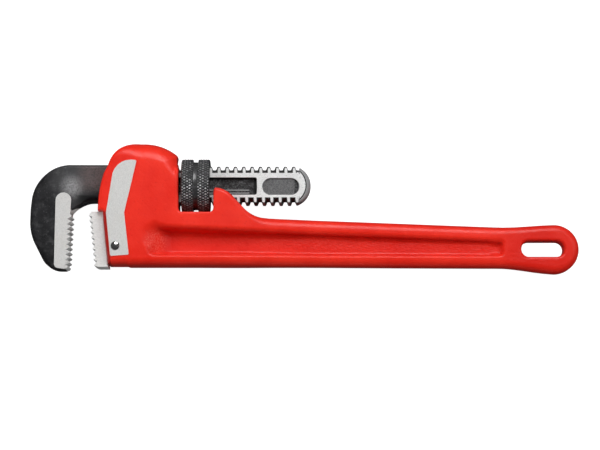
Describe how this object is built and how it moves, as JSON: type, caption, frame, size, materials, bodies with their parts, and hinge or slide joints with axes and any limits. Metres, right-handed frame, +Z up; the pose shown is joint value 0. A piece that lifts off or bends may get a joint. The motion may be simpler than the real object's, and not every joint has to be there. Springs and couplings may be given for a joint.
{
  "type": "pipe wrench",
  "caption": "Straight adjustable pipe wrench: hook jaw on a threaded shank, knurled nut, pinned heel jaw and an I-section handle.",
  "frame": {"origin": "centre of the bounding box's base, with the wrench lying on its side", "axes": "+X from the jaws to the handle's end, +Y across the wrench towards the housing's crown, +Z up through its thickness"},
  "size_m": [0.3932, 0.0938, 0.0388],
  "materials": {
    "red_paint": "glossy enamel on a cast surface, with bare ground strips",
    "jaw_steel": "ground, with milled teeth",
    "pin_steel": "bright",
    "spring_steel": "oiled, blued",
    "black_nut": "black phosphate with a knurl worn bright at its tips",
    "black_forging": "black oxide on a forged surface, with ground faces and teeth"
  },
  "bodies": {
    "handle": {"handle_casting": "red_paint", "heel_jaw": "jaw_steel", "heel_jaw_pin": "pin_steel", "coil_spring": "spring_steel"},
    "spring_rocker": {"flat_spring": "spring_steel", "spring_rivet": "pin_steel"},
    "adjusting_nut": {"adjusting_nut": "black_nut"},
    "hook_jaw": {"hook_jaw": "black_forging"}
  },
  "joints": [
    {"name": "jaw_rock", "type": "hinge", "parent": "handle", "child": "spring_rocker", "pos_m": [-0.078, 0.0168, 0.0194], "axis": [0, 0, -1], "range_deg": [0, 3], "stiffness_Nm_per_rad": 4.3, "springref_deg": -5.73, "deforming": ["coil_spring"]},
    {"name": "nut_spin", "type": "hinge", "parent": "spring_rocker", "child": "adjusting_nut", "pos_m": [-0.078, 0.0168, 0.0194], "axis": [1, 0, 0], "range_deg": [-630, 3600]},
    {"name": "jaw_slide", "type": "slide", "parent": "spring_rocker", "child": "hook_jaw", "axis": [-1, 0, 0], "range_m": [-0.0106, 0.0601]}
  ],
  "couplings": [
    {"joint": "jaw_slide", "follows": "nut_spin", "m_per_rad": 0.00095493}
  ]
}
